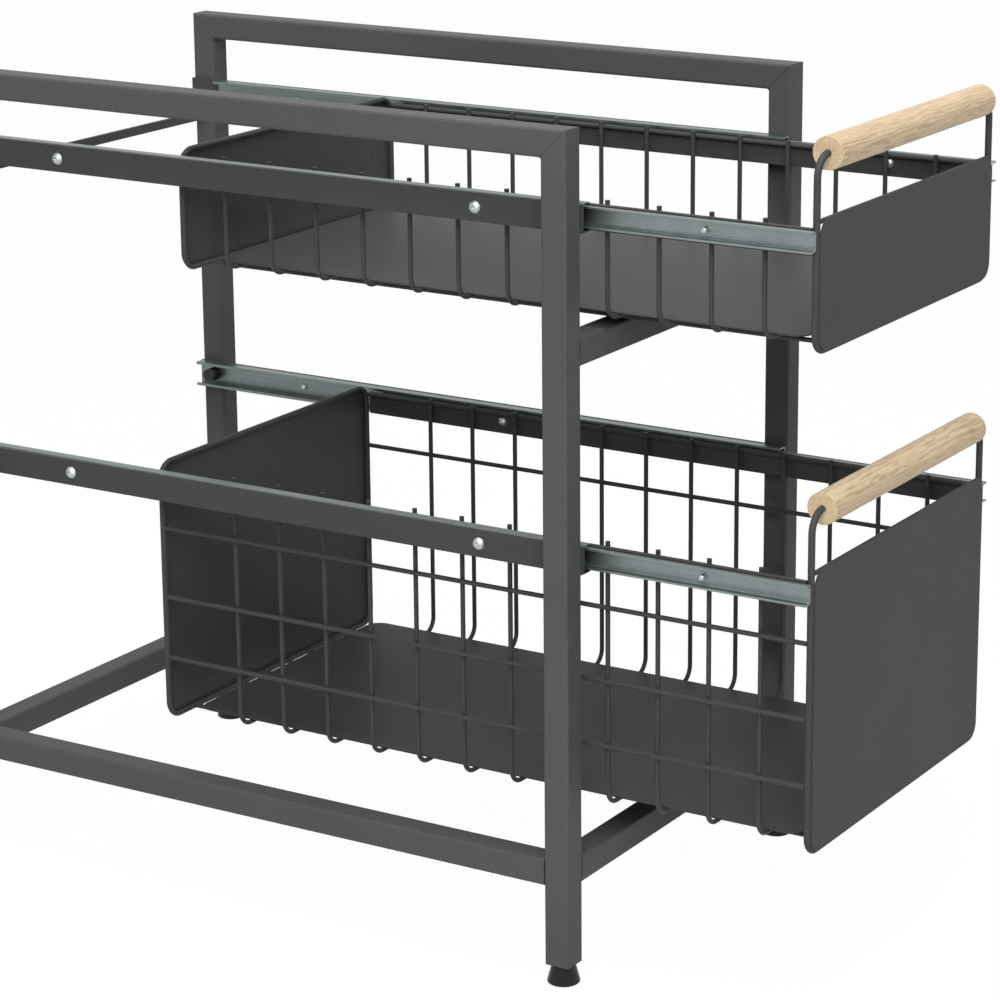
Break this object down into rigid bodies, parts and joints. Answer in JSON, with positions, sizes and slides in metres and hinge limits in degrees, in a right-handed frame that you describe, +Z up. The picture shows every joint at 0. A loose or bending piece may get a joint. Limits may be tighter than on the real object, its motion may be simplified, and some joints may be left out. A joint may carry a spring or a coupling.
{
  "type": "pull-out cabinet basket",
  "caption": "Square-tube frame with wire-and-sheet baskets that pull out on ball-bearing slides, with round wooden handles and levelling feet.",
  "frame": {"origin": "bottom centre of the bounding box as the object stands with both baskets 171 mm open, on the plane of symmetry at floor level", "axes": "+Z up, -Y the way the baskets pull out, +X to the right of a person who faces the handles"},
  "size_m": [0.354, 0.7428, 0.6235],
  "materials": {
    "dark_coat": "fine textured powder coat",
    "slide_steel": "zinc plated",
    "zinc_screws": "bright zinc plated",
    "ball_steel": "polished",
    "wood": "clear satin lacquer",
    "foot_plastic": "glossy",
    "insert_plastic": "matt",
    "bumper_rubber": "matt"
  },
  "bodies": {
    "frame": {"bottom_rail_left": "dark_coat", "bottom_rail_right": "dark_coat", "closing_bumpers": "bumper_rubber", "cross_tube_bottom_front": "dark_coat", "cross_tube_bottom_rear": "dark_coat", "cross_tube_middle_front": "dark_coat", "foot_inserts": "insert_plastic", "lower_cabinet_member_left": "slide_steel", "lower_cabinet_member_right": "slide_steel", "lower_slide_rail_left": "dark_coat", "lower_slide_rail_right": "dark_coat", "post_front_left": "dark_coat", "post_front_right": "dark_coat", "post_rear_left": "dark_coat", "post_rear_right": "dark_coat", "rail_screws": "zinc_screws", "tie_bar_rear": "dark_coat", "top_rail_left": "dark_coat", "top_rail_right": "dark_coat", "upper_cabinet_member_left": "slide_steel", "upper_cabinet_member_right": "slide_steel", "upper_slide_rail_left": "dark_coat", "upper_slide_rail_right": "dark_coat"},
    "upper_basket": {"upper_basket_screws": "zinc_screws", "upper_drawer_member_left": "slide_steel", "upper_drawer_member_right": "slide_steel", "upper_floor_sheet": "dark_coat", "upper_floor_wires": "dark_coat", "upper_front_frame": "dark_coat", "upper_front_panel": "dark_coat", "upper_front_top_wire": "dark_coat", "upper_handle": "wood", "upper_hoops": "dark_coat", "upper_rear_loop": "dark_coat", "upper_rear_panel": "dark_coat", "upper_side_bars": "dark_coat", "upper_side_wires": "dark_coat"},
    "lower_basket": {"lower_basket_screws": "zinc_screws", "lower_drawer_member_left": "slide_steel", "lower_drawer_member_right": "slide_steel", "lower_floor_sheet": "dark_coat", "lower_floor_wires": "dark_coat", "lower_front_frame": "dark_coat", "lower_front_panel": "dark_coat", "lower_front_top_wire": "dark_coat", "lower_handle": "wood", "lower_hoops": "dark_coat", "lower_rear_loop": "dark_coat", "lower_rear_panel": "dark_coat", "lower_side_bars": "dark_coat", "lower_side_wires": "dark_coat"},
    "upper_cages": {"upper_ball_cages": "slide_steel", "upper_balls": "ball_steel"},
    "lower_cages": {"lower_ball_cages": "slide_steel", "lower_balls": "ball_steel"},
    "foot_front_left": {"foot_front_left": "foot_plastic"},
    "foot_front_right": {"foot_front_right": "foot_plastic"},
    "foot_rear_left": {"foot_rear_left": "foot_plastic"},
    "foot_rear_right": {"foot_rear_right": "foot_plastic"}
  },
  "joints": [
    {"name": "upper_basket_slide", "type": "slide", "parent": "frame", "child": "upper_basket", "axis": [0, -1, 0], "range_m": [-0.171, 0.209]},
    {"name": "upper_cage_slide", "type": "slide", "parent": "frame", "child": "upper_cages", "axis": [0, -1, 0], "range_m": [-0.0855, 0.1045]},
    {"name": "lower_basket_slide", "type": "slide", "parent": "frame", "child": "lower_basket", "axis": [0, -1, 0], "range_m": [-0.171, 0.229]},
    {"name": "lower_cage_slide", "type": "slide", "parent": "frame", "child": "lower_cages", "axis": [0, -1, 0], "range_m": [-0.0855, 0.1145]},
    {"name": "foot_front_left_turn", "type": "hinge", "parent": "frame", "child": "foot_front_left", "pos_m": [-0.165, -0.17957, 0], "axis": [0, 0, 1], "continuous": true},
    {"name": "foot_front_right_turn", "type": "hinge", "parent": "frame", "child": "foot_front_right", "pos_m": [0.165, -0.17957, 0], "axis": [0, 0, 1], "continuous": true},
    {"name": "foot_rear_left_turn", "type": "hinge", "parent": "frame", "child": "foot_rear_left", "pos_m": [-0.165, 0.36042, 0], "axis": [0, 0, 1], "continuous": true},
    {"name": "foot_rear_right_turn", "type": "hinge", "parent": "frame", "child": "foot_rear_right", "pos_m": [0.165, 0.36042, 0], "axis": [0, 0, 1], "continuous": true}
  ],
  "couplings": [
    {"joint": "upper_cage_slide", "follows": "upper_basket_slide", "ratio": 0.5},
    {"joint": "lower_cage_slide", "follows": "lower_basket_slide", "ratio": 0.5}
  ]
}
